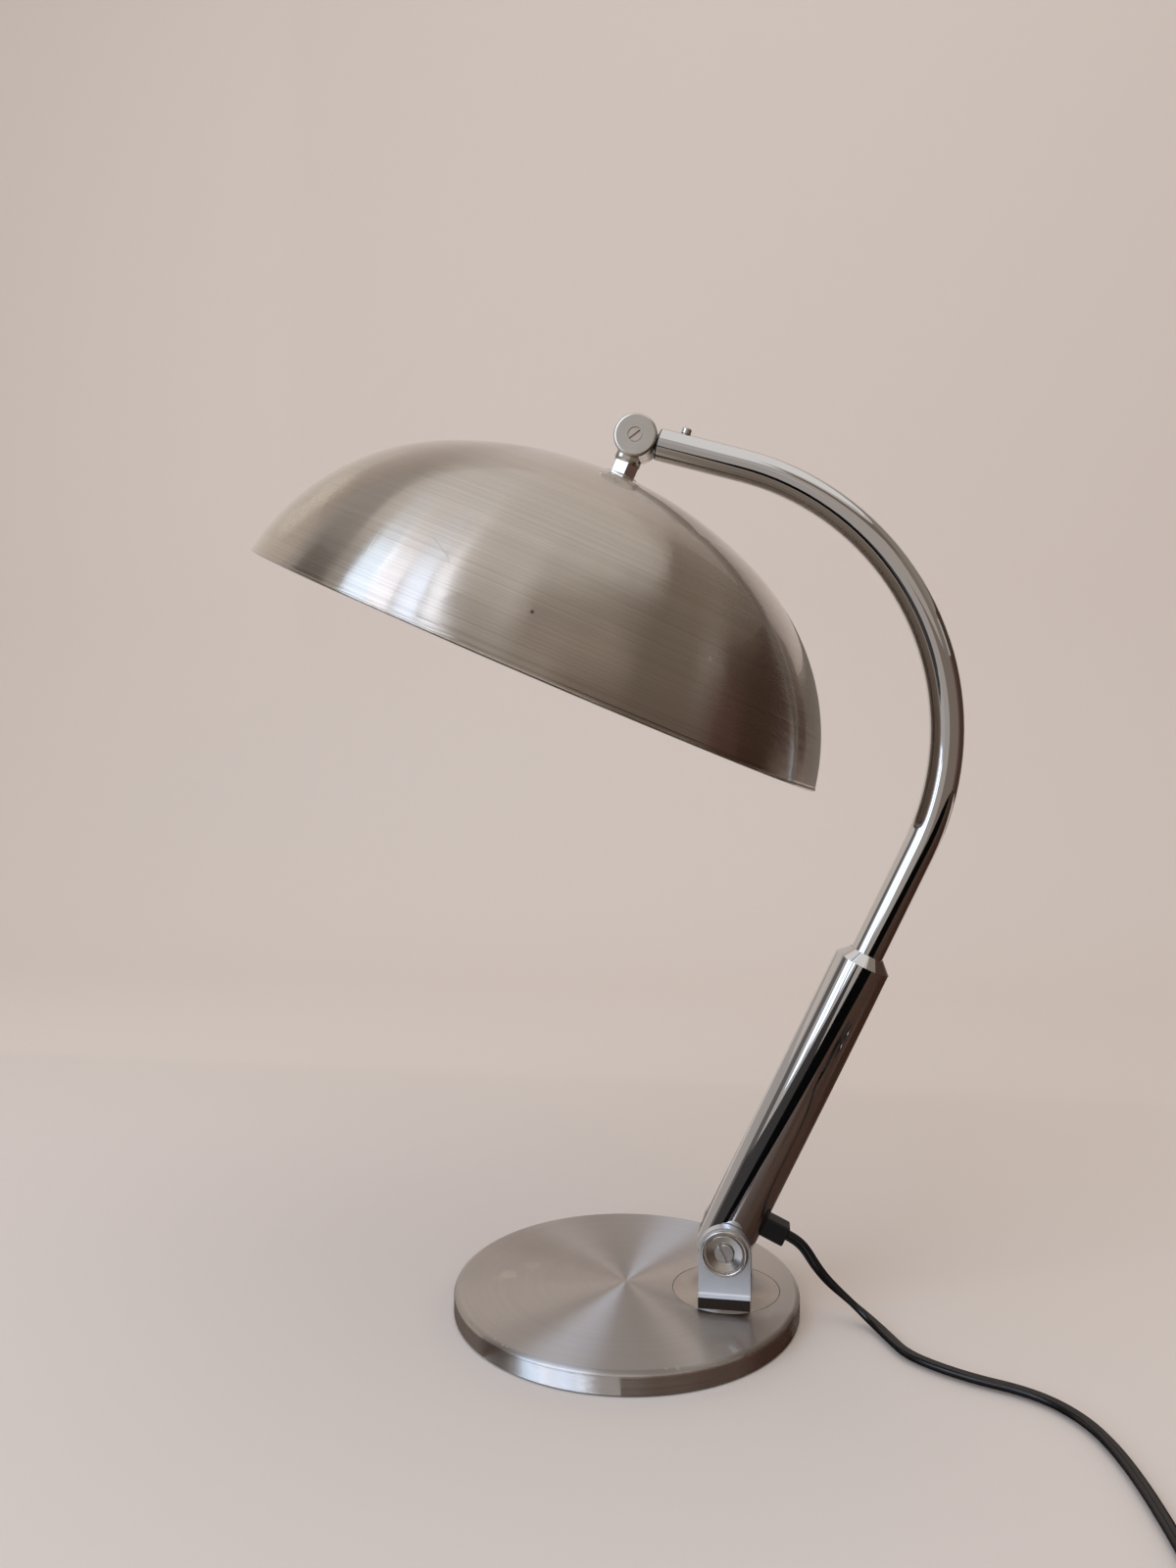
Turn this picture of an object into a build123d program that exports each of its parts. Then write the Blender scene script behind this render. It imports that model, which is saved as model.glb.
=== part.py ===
from build123d import *
import math
import os

# Desk lamp with a heavy round base, a swivelling and tilting two-part tube arm and a domed metal shade.
# Frame: millimetres, +Z up, origin at the centre of the base's underside. The arm, the curved tube
# and the shade's axis lie in the plane Y = 0, and the shade hangs towards -X.

# Posture, degrees
arm_lean = 25.2
top_slope = 16.4
shade_tilt = 23.6

# Base
base_diameter = 200.0
base_height = 12.5
base_edge_radius = 3.0
cover_wall = 1.2
cover_lift = 0.8
pad_thickness = 1.5
pad_inset = 2.6
weight_gap = 0.3
pocket_clearance = 0.5

# Swivel in the base
swivel_reach_share = 0.29
swivel_diameter = 61.0
swivel_groove = 0.3
swivel_thickness = 2.5
swivel_edge = 0.2
slip_ring_thickness = 0.8
slip_ring_inset = 1.0
swivel_web = 3.0
stud_diameter = 8.0
stud_rivet_diameter = 6.0
stud_nut_width = 13.0
stud_nut_height = 3.3
stud_nut_clearance = 3.5
stud_end_gap = 0.1
spring_washer_height = 0.9
spring_washer_thickness = 0.5
spring_washer_overhang = 1.5
bush_wall = 2.0

# Clevis ears on the swivel plate, and their pivot
pivot_height = 42.2
ear_width = 28.8
ear_thickness = 6.0
ear_bend = 2.2
foot_length = 10.2
ear_screw_diameter = 3.0
ear_screw_head_diameter = 5.7
ear_screw_socket = 2.0
ear_screw_socket_depth = 0.8
ear_screw_spacing = 17.0
ear_screw_grip = 3.3
pivot_diameter = 8.0
pivot_thread = 6.0
pivot_head_diameter = 10.4
pivot_head_height = 2.5
pivot_head_edge = 0.4
pivot_slot_width = 1.9
pivot_slot_depth = 1.3
pivot_slot_angle = 64.0
pivot_nut_slot_angle = 20.0
pivot_nut_start = 0.6
pivot_nut_wall = 1.4
pivot_washer_diameter = 20.0
pivot_washer_thickness = 0.5
cup_diameter = 26.4
cup_ring_width = 2.2
cup_ring_base = 0.8
cup_rise = 1.7
cup_groove_height = 0.3
cup_dish_diameter = 20.4
cup_dish_rise = 1.0
cup_dish_edge = 0.3
cup_dish_low = -0.5
cup_depth = 3.0
cup_floor_depth = 1.9
cup_bore_clearance = 0.5

# Arm
lower_tube_diameter = 32.0
lower_tube_wall = 1.5
lower_tube_length = 177.5
collar_height = 6.4
collar_spigot = 12.0
curved_tube_diameter = 18.4
curved_tube_wall = 1.2
curved_tube_bend = 155.8
curved_tube_tail = 66.0
sleeve_length = 14.0
block_top = 10.6
cable_diameter = 5.2
cable_clearance = 0.4
cable_bend = 9.0
collar_edge = 0.3
collar_lip = 0.5

# Cord gland on the lower tube
gland_height = 17.9
gland_length = 11.6
gland_width = 11.6
gland_rise = 13.2
gland_spigot_diameter = 9.0
gland_spigot_length = 4.5
gland_corner = 1.2
gland_edge = 0.6

# Knuckle between the curved tube and the shade
knuckle_x = 6.6
knuckle_z = 500.2
knuckle_diameter = 24.8
knuckle_depth = 21.0
knuckle_edge = 1.6
tongue_thickness = 6.4
tongue_neck_width = 10.0
tongue_plug_length = 22.0
tongue_plug_edge = 0.8
tube_end_gap = 13.5
end_bush_length = 0.8
end_bush_inset = 0.5
end_bush_clearance = 0.15
knuckle_washer_thickness = 0.3
knuckle_bolt_diameter = 6.0
knuckle_thread = 4.0
knuckle_head_diameter = 7.6
knuckle_recess_depth = 2.0
knuckle_recess_clearance = 0.35
knuckle_head_inset = 0.3
knuckle_thread_gap = 1.0
knuckle_slot_width = 1.2
knuckle_slot_depth = 1.2
knuckle_slot_angle = -58.6
knuckle_nut_slot_angle = 40.0
knuckle_bridge_gap = 0.4
knuckle_leg_length = 3.0
knuckle_leg_inset = 0.3
knuckle_leg_diameter = 18.4
knuckle_leg_bevel = 1.5
knuckle_washer_inset = 0.6
set_screw_distance = 26.2
set_screw_diameter = 4.0
set_screw_head_diameter = 5.6
set_screw_head_height = 3.7
set_screw_crown = 1.0
set_screw_crown_rise = 0.8
set_screw_tip_gap = 0.7

# Shade and its neck
neck_height = 24.9
neck_hex_width = 13.6
neck_hex_turn = -13.0
neck_washer_diameter = 21.0
neck_washer_thickness = 2.4
neck_washer_edge = 0.8
shade_diameter = 345.0
shade_height = 119.1
shade_crown_radius = 228.0
shade_shoulder_radius = 134.0
shade_wall = 1.2
shade_hem_height = 2.6
shade_hem_wall = 2.2
shade_bead_radius = 0.7
shade_bead_rise = 0.3
nipple_diameter = 10.0
nipple_bore = 6.4
nipple_engagement = 6.0
nipple_end_gap = 0.1
inner_washer_diameter = 22.0
inner_washer_thickness = 1.2
lock_nut_height = 3.5

# Lampholder, its switch and the bulb
holder_diameter = 39.0
holder_cap_height = 19.0
holder_cap_wall = 1.5
holder_cap_shoulder = 8.0
holder_boss_wall = 2.5
holder_cap_crown = 3.0
holder_boss_height = 4.0
holder_body_height = 34.0
holder_web = 8.0
holder_grip = 10.0
holder_waist = 12.0
holder_waist_inset = 1.5
holder_mouth_edge = 3.0
holder_mouth_slope = 2.0
holder_ring_diameter = 43.6
holder_ring_height = 6.0
holder_ring_drop = 13.0
holder_ring_edge = 1.0
socket_bore = 27.3
socket_shell_wall = 0.3
contact_diameter = 7.0
contact_thickness = 0.8
bulb_cap_diameter = 26.2
bulb_cap_length = 25.0
bulb_contact_radius = 4.5
bulb_insulator_radius = 8.0
bulb_insulator_height = 3.0
bulb_cap_shoulder = 5.0
bulb_neck_inset = 1.5
bulb_neck_share = 0.55
bulb_diameter = 45.0
bulb_length = 72.0
switch_shaft_diameter = 4.0
switch_shaft_reach = 11.5
switch_shaft_overlap = 6.0
switch_knob_diameter = 9.0
switch_knob_length = 9.0
switch_wing_width = 15.0
switch_wing_thickness = 3.2
switch_wing_corner = 2.0
switch_wing_step = 1.0
switch_block_lift = 1.0
switch_block_width = 20.0
switch_block_depth = 14.0
switch_block_height = 11.0

# Fits
running = 0.05
seat = 0.05
face_gap = 0.025
groove_gap = 0.3

# Mains cord: its widest section, its length to the plug and the coil of the spare length
cord_diameter = 6.2
cord_lift = 0.1
cord_exit_run = 6.0
bend_share = 0.45
cord_total_length = 1600.0
coil_turns = 3
coil_pitch = 6.9
coil_step = 6.8
coil_steps_per_turn = 4
plug_length = 36.0
plug_width = 26.0
plug_thickness = 13.8
plug_tail_width = 12.0
plug_shoulder = 14.0
plug_corner = 2.5
plug_edge = 1.2
plug_pin_seat = 6.0
plug_pin_edge = 0.8
plug_tail_drop = 50.0
sleeve_groove = 0.7
plug_sleeve_length = 12.0
plug_sleeve_diameter = 9.0
plug_pin_diameter = 4.0
plug_pin_length = 19.0
plug_pin_spacing = 18.6

# Values that follow from the ones above
base_radius = base_diameter / 2
swivel_reach = swivel_reach_share * base_diameter
swivel_radius = swivel_diameter / 2
plate_underside = base_height - swivel_thickness
pocket_floor = plate_underside - slip_ring_thickness
web_underside = pocket_floor - swivel_web
weight_top = base_height - cover_wall
stud_radius = stud_diameter / 2
pivot_radius = pivot_diameter / 2
tube_radius = lower_tube_diameter / 2
tube_bore = tube_radius - lower_tube_wall
boss_face = tube_radius + seat
ear_inner = boss_face + pivot_washer_thickness + 2 * face_gap
ear_outer = ear_inner + ear_thickness
cup_floor = ear_outer - cup_floor_depth
curved_radius = curved_tube_diameter / 2
curved_bore = curved_radius - curved_tube_wall
cord_radius = cord_diameter / 2
cord_height = cord_radius + cord_lift
knuckle_radius = knuckle_diameter / 2
cheek_inner = tongue_thickness / 2 + knuckle_washer_thickness + 2 * face_gap
shade_radius = shade_diameter / 2 - shade_bead_rise
shade_rim = -neck_height - shade_height
shade_inside = -neck_height - shade_wall

pivot = Location((swivel_reach, 0, pivot_height), (0, arm_lean, 0))
knuckle = Vector(knuckle_x, 0, knuckle_z)
shade_place = Location(knuckle, (0, shade_tilt, 0))
tube_end_place = Location(knuckle, (0, 90 + top_slope, 0))
swivel_place = Location((swivel_reach, 0, 0))
BOTTOM = (Align.CENTER, Align.CENTER, Align.MIN)


def rod(radius, low, high):
    """A cylinder along Z between two heights."""
    return Pos(0, 0, low) * Cylinder(radius, high - low, align=BOTTOM)


def ring(outer, inner, low, high):
    """A tube along Z between two heights."""
    return rod(outer, low, high) - rod(inner, low - 1, high + 1)


def cross_rod(radius, near, far):
    """A cylinder along Y between two Y values."""
    return Pos(0, near, 0) * Rot(-90, 0, 0) * Cylinder(radius, far - near, align=BOTTOM)


def turned(points):
    """A solid of revolution about Z from (radius, height) points."""
    return revolve(Plane.XZ * make_face(Polyline(*points, close=True)), Axis.Z)


def hexagon_rod(width, low, high):
    """A hexagonal bar along Z, its size across flats."""
    return Pos(0, 0, low) * extrude(RegularPolygon(width / 2, 6, major_radius=False), high - low)


def slotted(head, diameter, top, slot_width, slot_depth, angle):
    """Cuts a screwdriver slot into a head whose outer face is at the height top."""
    slot = Box(2 * diameter, slot_width, slot_depth, align=(Align.CENTER, Align.CENTER, Align.MAX))
    return head - Pos(0, 0, top) * Rot(0, 0, angle) * slot


# Base

def base_cover():
    shell = fillet(rod(base_radius, 0, base_height).edges().group_by(Axis.Z)[-1], base_edge_radius)
    inner_edge = base_edge_radius - cover_wall
    hollow = rod(base_radius - cover_wall, -1, weight_top)
    hollow = fillet(hollow.edges().group_by(Axis.Z)[-1], inner_edge)
    shell = shell - hollow - rod(base_radius + 1, -1, cover_lift)
    return shell - swivel_place * rod(swivel_radius + swivel_groove, 0, base_height + 1)


def base_weight():
    radius = base_radius - cover_wall - weight_gap
    weight = rod(radius, pad_thickness, weight_top)
    weight = chamfer(weight.edges().group_by(Axis.Z)[-1], base_edge_radius - cover_wall)
    pocket = rod(swivel_radius + swivel_groove + pocket_clearance, pocket_floor, base_height)
    bore = rod(stud_radius + running + bush_wall + seat, 0, base_height)
    recess = rod(stud_nut_width / 2 + stud_nut_clearance, 0, web_underside)
    return weight - swivel_place * (pocket + bore + recess)


def base_pad():
    return rod(base_radius - pad_inset, 0, pad_thickness)


def swivel_plate():
    plate = rod(swivel_radius, plate_underside, base_height)
    plate = chamfer(plate.edges().group_by(Axis.Z)[-1], swivel_edge)
    plate -= rod(stud_rivet_diameter / 2 + seat, 0, base_height + 1)
    plate -= [Pos(x, y, 0) * ear_screw_shape(seat) for x, y in ear_screw_places()]
    return swivel_place * plate


def swivel_stud():
    low = web_underside - spring_washer_height - stud_nut_height - stud_end_gap
    shank = rod(stud_radius, low, plate_underside)
    return swivel_place * (shank + rod(stud_rivet_diameter / 2, plate_underside, base_height - stud_end_gap))


def swivel_bush():
    bore = stud_radius + running
    return swivel_place * ring(bore + bush_wall, bore, web_underside, plate_underside - face_gap)


def slip_ring():
    inner = stud_radius + running + bush_wall + groove_gap
    outer = swivel_radius - slip_ring_inset
    return swivel_place * ring(outer, inner, pocket_floor, plate_underside - face_gap)


def spring_washer():
    top = web_underside - face_gap
    low = web_underside - spring_washer_height
    inner = stud_radius + groove_gap
    outer = stud_nut_width / 2 + spring_washer_overhang
    thickness = spring_washer_thickness
    points = [(inner, low), (outer, top - thickness), (outer, top), (inner, low + thickness)]
    return swivel_place * turned(points)


def swivel_nut():
    top = web_underside - spring_washer_height
    nut = hexagon_rod(stud_nut_width, top - stud_nut_height, top)
    return swivel_place * (nut - rod(stud_radius + seat, 0, base_height))


# Clevis

def ear_screw_places():
    """Screw centres on the swivel plate, from its axis."""
    y = ear_outer + (foot_length - ear_thickness) / 2
    half = ear_screw_spacing / 2
    return [(x, side * y) for side in (-1, 1) for x in (-half, half)]


def ear_screw_shape(clearance):
    """A countersunk screw that comes up through the swivel plate."""
    radius = ear_screw_diameter / 2 + clearance
    head_radius = ear_screw_head_diameter / 2 + clearance
    cone = head_radius - radius
    top = base_height + ear_screw_grip + clearance
    points = [(0, plate_underside), (head_radius, plate_underside), (radius, plate_underside + cone)]
    return turned(points + [(radius, top), (0, top)])


def ear_screws():
    socket = hexagon_rod(ear_screw_socket, plate_underside, plate_underside + ear_screw_socket_depth)
    screw = ear_screw_shape(0) - socket
    return swivel_place * (Part() + [Pos(x, y, 0) * screw for x, y in ear_screw_places()])


def ear(side):
    """One bent strip: a rounded upright and a foot that turns outward."""
    ear_top = pivot_height + ear_width / 2
    upright = Pos(ear_inner + ear_thickness / 2, (ear_top + base_height) / 2)
    upright = upright * Rectangle(ear_thickness, ear_top - base_height)
    foot = Rectangle(foot_length, ear_thickness)
    foot = Pos(ear_inner + foot_length / 2, base_height + ear_thickness / 2) * foot
    strip = upright + foot
    inside = strip.vertices().sort_by_distance((ear_outer, base_height + ear_thickness, 0))[0]
    strip = fillet(inside, ear_bend)
    outside = strip.vertices().sort_by_distance((ear_inner, base_height, 0))[0]
    strip = fillet(outside, ear_bend + ear_thickness / 2)
    bar = extrude(Plane.YZ * strip, ear_width / 2, both=True)
    front_view = Pos(0, pivot_height) * Circle(ear_width / 2)
    front_view += Pos(0, (pivot_height + base_height) / 2) * Rectangle(ear_width, pivot_height - base_height)
    bar &= extrude(Plane.XZ * front_view, -(ear_inner + foot_length + 1))
    bar -= Pos(0, 0, pivot_height) * cross_rod(pivot_radius + running, 0, ear_outer + 1)
    cup_bore = cup_dish_diameter / 2 + cup_bore_clearance
    bar -= Pos(0, 0, pivot_height) * cross_rod(cup_bore, ear_outer - cup_depth, ear_outer + 1)
    bar -= [Pos(x, y, 0) * ear_screw_shape(seat) for x, y in ear_screw_places() if y > 0]
    if side < 0:
        bar = bar.mirror(Plane.XZ)
    return swivel_place * bar


def pivot_cup(side):
    """A cup washer: a rounded ring and a groove round a shallow dish that takes the bolt's head."""
    outer = cup_diameter / 2
    inner = outer - cup_ring_width
    dish = cup_dish_diameter / 2
    head = pivot_head_diameter / 2 + groove_gap
    floor = cup_floor - ear_outer
    bottom = -cup_depth + face_gap
    spigot = dish + cup_bore_clearance - seat
    bore = pivot_radius + seat
    crest = ThreePointArc((outer, cup_ring_base), ((outer + inner) / 2, cup_rise), (inner, cup_ring_base))
    rest = Polyline((inner, cup_ring_base), (inner, cup_groove_height), (dish, cup_groove_height),
                    (dish, cup_dish_rise - cup_dish_edge), (dish - cup_dish_edge, cup_dish_rise),
                    (head, cup_dish_low), (head, floor), (bore, floor), (bore, bottom), (spigot, bottom),
                    (spigot, 0), (outer, 0), (outer, cup_ring_base))
    cup = Rot(-90 * side, 0, 0) * revolve(Plane.XZ * make_face([crest] + rest.edges()), Axis.Z)
    return swivel_place * Pos(0, side * ear_outer, pivot_height) * cup


def pivot_bolt():
    """The bolt lies along Y with its slotted head at the front; its thread enters the barrel nut."""
    split = ear_inner * pivot_nut_start
    thread_end = cup_floor - pivot_nut_wall - stud_end_gap
    head_top = -cup_floor - pivot_head_height
    body = rod(pivot_radius, -cup_floor, split) + rod(pivot_thread / 2, split, thread_end)
    head = rod(pivot_head_diameter / 2, head_top, -cup_floor)
    head = chamfer(head.edges().group_by(Axis.Z)[0], pivot_head_edge)
    slot = Box(2 * pivot_head_diameter, pivot_slot_width, pivot_slot_depth, align=BOTTOM)
    body += head - Pos(0, 0, head_top) * Rot(0, 0, pivot_slot_angle) * slot
    return swivel_place * Pos(0, 0, pivot_height) * Rot(-90, 0, 0) * body


def pivot_nut():
    """A barrel nut with a slotted head, from the rear."""
    split = ear_inner * pivot_nut_start + seat
    head_top = cup_floor + pivot_head_height
    barrel = rod(pivot_radius, split, cup_floor)
    head = rod(pivot_head_diameter / 2, cup_floor, head_top)
    head = chamfer(head.edges().group_by(Axis.Z)[-1], pivot_head_edge)
    head = slotted(head, pivot_head_diameter, head_top, pivot_slot_width, pivot_slot_depth,
                   pivot_nut_slot_angle)
    nut = barrel + head - rod(pivot_thread / 2 + seat, 0, cup_floor - pivot_nut_wall)
    return swivel_place * Pos(0, 0, pivot_height) * Rot(-90, 0, 0) * nut


def pivot_washers():
    inner = pivot_radius + running
    near = boss_face + face_gap
    disc = cross_rod(pivot_washer_diameter / 2, near, near + pivot_washer_thickness)
    disc -= cross_rod(inner, 0, ear_outer)
    return swivel_place * Pos(0, 0, pivot_height) * (disc + disc.mirror(Plane.XZ))


# Arm, in a frame with its origin at the pivot and Z up the lower tube

def rounded_foot(body):
    """Rounds the foot of a bar on the pivot's axis, as seen from the front."""
    keep = cross_rod(tube_radius, -lower_tube_diameter, lower_tube_diameter)
    keep += Box(3 * tube_radius, 3 * tube_radius, 400, align=BOTTOM)
    return body & keep


def pivot_block():
    block = rounded_foot(rod(tube_bore - seat, -tube_radius, block_top))
    block += cross_rod(pivot_washer_diameter / 2, -boss_face, boss_face)
    return pivot * (block - cross_rod(pivot_radius + running, -30, 30))


def lower_tube():
    tube = rounded_foot(ring(tube_radius, tube_bore, -tube_radius, lower_tube_length))
    tube -= cross_rod(pivot_washer_diameter / 2 + seat, -30, 30)
    bore = rod(gland_spigot_diameter / 2 + seat, 0, tube_radius + 1)
    return pivot * (tube - Pos(0, 0, gland_height) * Rot(0, 90, 0) * bore)


def tube_collar():
    bore = curved_radius + seat
    low = lower_tube_length - collar_spigot
    top = lower_tube_length + collar_height
    points = [(bore, low), (tube_bore - seat, low), (tube_bore - seat, lower_tube_length),
              (tube_radius, lower_tube_length), (tube_radius, lower_tube_length + collar_edge),
              (bore + collar_lip, top), (bore, top)]
    return pivot * turned(points)


def tube_sleeve():
    low = lower_tube_length - curved_tube_tail
    return pivot * ring(tube_bore - seat, curved_radius + seat, low, low + sleeve_length)


def tube_corner():
    """Where the lower tube's axis meets the line of the curved tube's top straight."""
    up = Vector(0, 0, 1).rotate(Axis.Y, arm_lean)
    back = Vector(0, 0, -1).rotate(Axis.Y, 90 + top_slope)
    start = Vector(swivel_reach, 0, pivot_height)
    gap = knuckle - start
    turn = up.X * back.Z - up.Z * back.X
    along = (gap.X * back.Z - gap.Z * back.X) / turn
    return start + up * along


def arm_point(height, side=0.0):
    """A point in the arm plane at a height up the lower tube and a distance to its lower side."""
    return (pivot * Location((side, 0, height))).position


def top_point(distance):
    """A point on the curved tube's top straight, from the knuckle."""
    return (tube_end_place * Location((0, 0, distance))).position


def curved_path():
    start = arm_point(lower_tube_length - curved_tube_tail)
    return FilletPolyline(start, tube_corner(), top_point(tube_end_gap), radius=curved_tube_bend)


def curved_tube():
    path = curved_path()
    outer = sweep(Plane(path @ 0, z_dir=path % 0) * Circle(curved_radius), path=path)
    inner = sweep(Plane(path @ 0, z_dir=path % 0) * Circle(curved_bore), path=path)
    hole = Rot(0, -90, 0) * rod(set_screw_diameter / 2 + seat, 0, curved_radius + 1)
    return outer - inner - tube_end_place * Pos(0, 0, set_screw_distance) * hole


def arm_cable():
    """The two-core cable inside the arm, from the gland to the knuckle's plug."""
    start = arm_point(gland_height, tube_radius - gland_spigot_length)
    turn = arm_point(gland_height)
    end = top_point(tube_end_gap + tongue_plug_length + 1)
    path = FilletPolyline(start, turn, tube_corner(), end, radius=[cable_bend, curved_tube_bend])
    return sweep(Plane(path @ 0, z_dir=path % 0) * Circle(cable_diameter / 2), path=path)


def cord_gland():
    face = tube_radius + gland_rise
    outward = (Align.MIN, Align.CENTER, Align.CENTER)
    block = Pos(0, 0, gland_height) * Box(face, gland_width, gland_length, align=outward)
    block = fillet(block.edges().filter_by(Axis.X), gland_corner)
    block = chamfer(block.faces().sort_by(Axis.X)[-1].edges(), gland_edge)
    block -= rod(tube_radius + seat, 0, 2 * gland_height)
    spigot = rod(gland_spigot_diameter / 2, tube_radius - gland_spigot_length, tube_radius + 2)
    return pivot * (block + Pos(0, 0, gland_height) * Rot(0, 90, 0) * spigot)


# Knuckle: the tongue on the tube's end, in a frame with Z from the knuckle down the tube

def knuckle_tongue():
    half = tongue_thickness / 2
    disc = cross_rod(knuckle_radius, -half, half)
    plug_end = tube_end_gap + tongue_plug_length
    neck = Box(tongue_neck_width, tongue_thickness, tube_end_gap + 2, align=BOTTOM)
    plug = rod(curved_bore - seat, tube_end_gap, plug_end)
    plug = chamfer(plug.edges().group_by(Axis.Z)[-1], tongue_plug_edge)
    tongue = disc + neck + plug
    tongue -= cross_rod(knuckle_bolt_diameter / 2 + running, -20, 20)
    tongue -= rod(cable_diameter / 2 + cable_clearance, tube_end_gap + 2, plug_end + 1)
    screw = Rot(0, -90, 0) * rod(set_screw_diameter / 2 + seat, cable_diameter / 2, curved_radius)
    return tube_end_place * (tongue - Pos(0, 0, set_screw_distance) * screw)


def tube_end_bush():
    bore = math.hypot(tongue_neck_width, tongue_thickness) / 2 + end_bush_clearance
    low = tube_end_gap - end_bush_length
    return tube_end_place * ring(curved_radius - end_bush_inset, bore, low, tube_end_gap)


def set_screw():
    head_seat = curved_radius + seat
    tip = cable_diameter / 2 + set_screw_tip_gap
    top = head_seat + set_screw_head_height
    shank = set_screw_diameter / 2
    head = set_screw_head_diameter / 2
    points = [(0, tip), (shank, tip), (shank, head_seat), (head, head_seat), (head, top - set_screw_crown),
              (head - set_screw_crown, top - set_screw_crown + set_screw_crown_rise), (0, top)]
    return tube_end_place * Pos(0, 0, set_screw_distance) * Rot(0, -90, 0) * turned(points)


# Knuckle and shade, in a frame with its origin at the knuckle and Z along the shade's axis

def knuckle_yoke():
    half = knuckle_depth / 2
    neck_low = -neck_height + neck_washer_thickness
    bridge_top = -knuckle_radius - knuckle_bridge_gap
    disc = cross_rod(knuckle_radius, -half, half)
    disc = fillet(disc.edges().filter_by(GeomType.CIRCLE), knuckle_edge)
    leg_width = neck_hex_width - 2 * knuckle_leg_inset
    legs = Box(leg_width, knuckle_depth - 2 * knuckle_edge, knuckle_radius + knuckle_leg_length,
               align=(Align.CENTER, Align.CENTER, Align.MAX))
    leg_low = -knuckle_radius - knuckle_leg_length
    leg_radius = knuckle_leg_diameter / 2
    legs &= turned([(0, leg_low), (leg_radius - knuckle_leg_bevel, leg_low),
                    (leg_radius, leg_low + knuckle_leg_bevel), (leg_radius, 0), (0, 0)])
    yoke = disc + legs
    slot = Box(3 * knuckle_radius, 2 * cheek_inner, 4 * knuckle_radius, align=BOTTOM)
    yoke -= Pos(0, 0, bridge_top) * slot
    neck = hexagon_rod(neck_hex_width, neck_low, bridge_top - knuckle_leg_length / 2)
    yoke += Rot(0, 0, neck_hex_turn) * neck
    yoke -= rod(nipple_diameter / 2 + seat, neck_low - 1, neck_low + nipple_engagement)
    yoke -= rod(cable_diameter / 2 + cable_clearance, neck_low, bridge_top + 1)
    yoke -= cross_rod(knuckle_bolt_diameter / 2 + running, -half - 1, half + 1)
    recess_radius = knuckle_head_diameter / 2 + knuckle_recess_clearance
    recess = cross_rod(recess_radius, half - knuckle_recess_depth, half + 1)
    return shade_place * (yoke - recess - recess.mirror(Plane.XZ))


def knuckle_washers():
    near = tongue_thickness / 2 + face_gap
    disc = cross_rod(knuckle_radius - knuckle_washer_inset, near, near + knuckle_washer_thickness)
    disc -= cross_rod(knuckle_bolt_diameter / 2 + running, 0, near + 1)
    return shade_place * (disc + disc.mirror(Plane.XZ))


def knuckle_screw():
    floor = knuckle_depth / 2 - knuckle_recess_depth
    head_top = -knuckle_depth / 2 + knuckle_head_inset
    body = rod(knuckle_bolt_diameter / 2, -floor, cheek_inner)
    body += rod(knuckle_thread / 2, cheek_inner, floor - knuckle_thread_gap)
    slot = Box(2 * knuckle_head_diameter, knuckle_slot_width, knuckle_slot_depth, align=BOTTOM)
    slot = Rot(0, 0, knuckle_slot_angle) * slot
    body += rod(knuckle_head_diameter / 2, head_top, -floor) - Pos(0, 0, head_top) * slot
    return shade_place * Rot(-90, 0, 0) * body


def knuckle_nut():
    floor = knuckle_depth / 2 - knuckle_recess_depth
    head_top = knuckle_depth / 2 - knuckle_head_inset
    head = slotted(rod(knuckle_head_diameter / 2, floor, head_top), knuckle_head_diameter, head_top,
                   knuckle_slot_width, knuckle_slot_depth, knuckle_nut_slot_angle)
    nut = rod(knuckle_bolt_diameter / 2, cheek_inner + seat, floor) + head
    nut -= rod(knuckle_thread / 2 + seat, 0, floor - knuckle_thread_gap + seat)
    return shade_place * Rot(-90, 0, 0) * nut


def neck_washer():
    low = -neck_height
    body = ring(neck_washer_diameter / 2, nipple_diameter / 2 + seat, low, low + neck_washer_thickness)
    outer = body.edges().group_by(Axis.Z)[-1].sort_by(SortBy.LENGTH)[-1]
    return shade_place * fillet(outer, neck_washer_edge)


def dome_centres():
    """Centres of the crown's and the shoulder's arcs, as (radius, height)."""
    crown = (0.0, -neck_height - shade_crown_radius)
    rim = (shade_radius, shade_rim)
    dx = rim[0] - crown[0]
    dz = rim[1] - crown[1]
    span = math.hypot(dx, dz)
    reach = shade_crown_radius - shade_shoulder_radius
    along = (reach ** 2 - shade_shoulder_radius ** 2 + span ** 2) / (2 * span)
    off = math.sqrt(reach ** 2 - along ** 2)
    shoulder = (crown[0] + (dx * along - dz * off) / span, crown[1] + (dz * along + dx * off) / span)
    return crown, shoulder


def dome_points(inset):
    """Crown top, a point on the crown, the arcs' meeting, a point on the shoulder and the rim."""
    crown, shoulder = dome_centres()
    join = math.atan2(shoulder[0] - crown[0], shoulder[1] - crown[1])
    rim = math.atan2(shade_radius - shoulder[0], shade_rim - shoulder[1])
    big = shade_crown_radius - inset
    small = shade_shoulder_radius - inset

    def on(centre, radius, angle):
        return (centre[0] + radius * math.sin(angle), centre[1] + radius * math.cos(angle))

    return [on(crown, big, 0), on(crown, big, join / 2), on(crown, big, join),
            on(shoulder, small, (join + rim) / 2), on(shoulder, small, rim)]


def dome_edge(points):
    return [ThreePointArc(*points[0:3]), ThreePointArc(*points[2:5])]


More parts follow.
